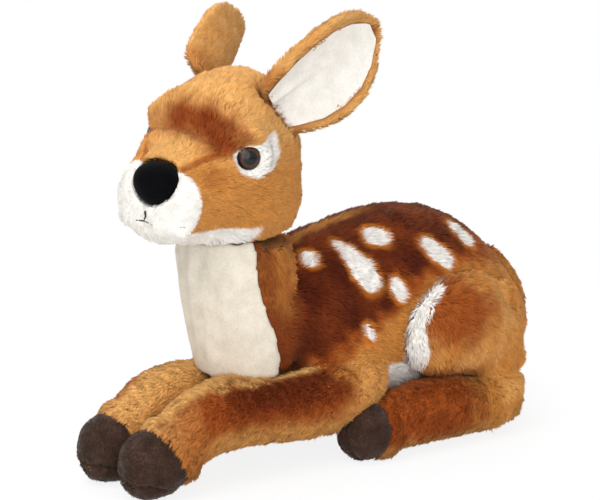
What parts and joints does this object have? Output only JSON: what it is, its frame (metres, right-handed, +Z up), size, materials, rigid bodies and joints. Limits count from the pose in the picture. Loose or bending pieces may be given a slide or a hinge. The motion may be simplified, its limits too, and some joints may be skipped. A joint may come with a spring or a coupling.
{
  "type": "plush deer",
  "caption": "Lying plush fawn with stuffed body, turned head, cupped ears, tail, folded legs with soft hooves, flocked nose and glossy eyes.",
  "frame": {"origin": "middle of the toy's footprint, on the surface it lies on", "axes": "+Z up; the fawn faces -Y; its left side is +X"},
  "size_m": [0.146, 0.3442, 0.2759],
  "materials": {
    "spotted_plush": "dark brown long-pile plush with white spots",
    "tan_plush": "golden tan long-pile plush",
    "cream_plush": "cream short-pile plush",
    "hoof_velour": "dark taupe short-pile velour",
    "ear_velour": "white velour",
    "fibre_stuffing": "white fibre filling",
    "black_flock": "black flocked",
    "eye_plastic": "glossy dark brown",
    "washer_plastic": "natural moulded",
    "black_thread": "black thread"
  },
  "bodies": {
    "body": {"torso_cover": "spotted_plush", "belly_panel": "cream_plush", "torso_stuffing": "fibre_stuffing", "neck_cover": "tan_plush", "bib_panel": "cream_plush", "neck_stuffing": "fibre_stuffing", "haunch_cover_left": "tan_plush", "haunch_stuffing_left": "fibre_stuffing", "shoulder_cover_left": "tan_plush", "shoulder_stuffing_left": "fibre_stuffing", "haunch_cover_right": "tan_plush", "haunch_stuffing_right": "fibre_stuffing", "shoulder_cover_right": "tan_plush", "shoulder_stuffing_right": "fibre_stuffing"},
    "head": {"head_cover": "tan_plush", "muzzle_cover": "cream_plush", "head_stuffing": "fibre_stuffing", "nose": "black_flock", "nose_washer": "washer_plastic", "philtrum_stitch": "black_thread", "mouth_stitch": "black_thread", "eye_left": "eye_plastic", "eye_patch_left": "cream_plush", "eye_washer_left": "washer_plastic", "eye_right": "eye_plastic", "eye_patch_right": "cream_plush", "eye_washer_right": "washer_plastic"},
    "tail": {"tail": "spotted_plush"},
    "ear_left": {"ear_back_left": "tan_plush", "ear_lining_left": "ear_velour"},
    "front_leg_left": {"front_leg_cover_left": "tan_plush", "front_hoof_left": "hoof_velour", "front_leg_stuffing_left": "fibre_stuffing"},
    "hind_foot_left": {"hind_foot_cover_left": "tan_plush", "hind_hoof_left": "hoof_velour", "hind_foot_stuffing_left": "fibre_stuffing"},
    "ear_right": {"ear_back_right": "tan_plush", "ear_lining_right": "ear_velour"},
    "front_leg_right": {"front_leg_cover_right": "tan_plush", "front_hoof_right": "hoof_velour", "front_leg_stuffing_right": "fibre_stuffing"},
    "hind_foot_right": {"hind_foot_cover_right": "tan_plush", "hind_hoof_right": "hoof_velour", "hind_foot_stuffing_right": "fibre_stuffing"}
  },
  "joints": [
    {"name": "head_turn", "type": "hinge", "parent": "body", "child": "head", "pos_m": [0, -0.0716, 0.144], "axis": [0, 0, 1], "range_deg": [-20, 20], "stiffness_Nm_per_rad": 0.15},
    {"name": "ear_flex_left", "type": "hinge", "parent": "head", "child": "ear_left", "pos_m": [0.02807, -0.06984, 0.21842], "axis": [-0.1589, 0.5985, -0.7852], "range_deg": [-20, 20], "stiffness_Nm_per_rad": 0.08},
    {"name": "ear_flex_right", "type": "hinge", "parent": "head", "child": "ear_right", "pos_m": [-0.01713, -0.08453, 0.2251], "axis": [0.3841, -0.1961, 0.9022], "range_deg": [-20, 20], "stiffness_Nm_per_rad": 0.08},
    {"name": "tail_lift", "type": "hinge", "parent": "body", "child": "tail", "pos_m": [0, 0.1329, 0.1085], "axis": [1, 0, 0], "range_deg": [0, 60], "stiffness_Nm_per_rad": 0.05},
    {"name": "front_leg_splay_left", "type": "hinge", "parent": "body", "child": "front_leg_left", "pos_m": [0.03108, -0.0609, 0.03828], "axis": [0, 0, 1], "range_deg": [0, 20], "stiffness_Nm_per_rad": 0.2},
    {"name": "front_leg_splay_right", "type": "hinge", "parent": "body", "child": "front_leg_right", "pos_m": [-0.03108, -0.0609, 0.03828], "axis": [0, 0, -1], "range_deg": [0, 20], "stiffness_Nm_per_rad": 0.2},
    {"name": "hind_foot_splay_left", "type": "hinge", "parent": "body", "child": "hind_foot_left", "pos_m": [0.0544, 0.09155, 0.022], "axis": [0, 0, 1], "range_deg": [0, 25], "stiffness_Nm_per_rad": 0.2},
    {"name": "hind_foot_splay_right", "type": "hinge", "parent": "body", "child": "hind_foot_right", "pos_m": [-0.0544, 0.09155, 0.022], "axis": [0, 0, -1], "range_deg": [0, 25], "stiffness_Nm_per_rad": 0.2}
  ]
}
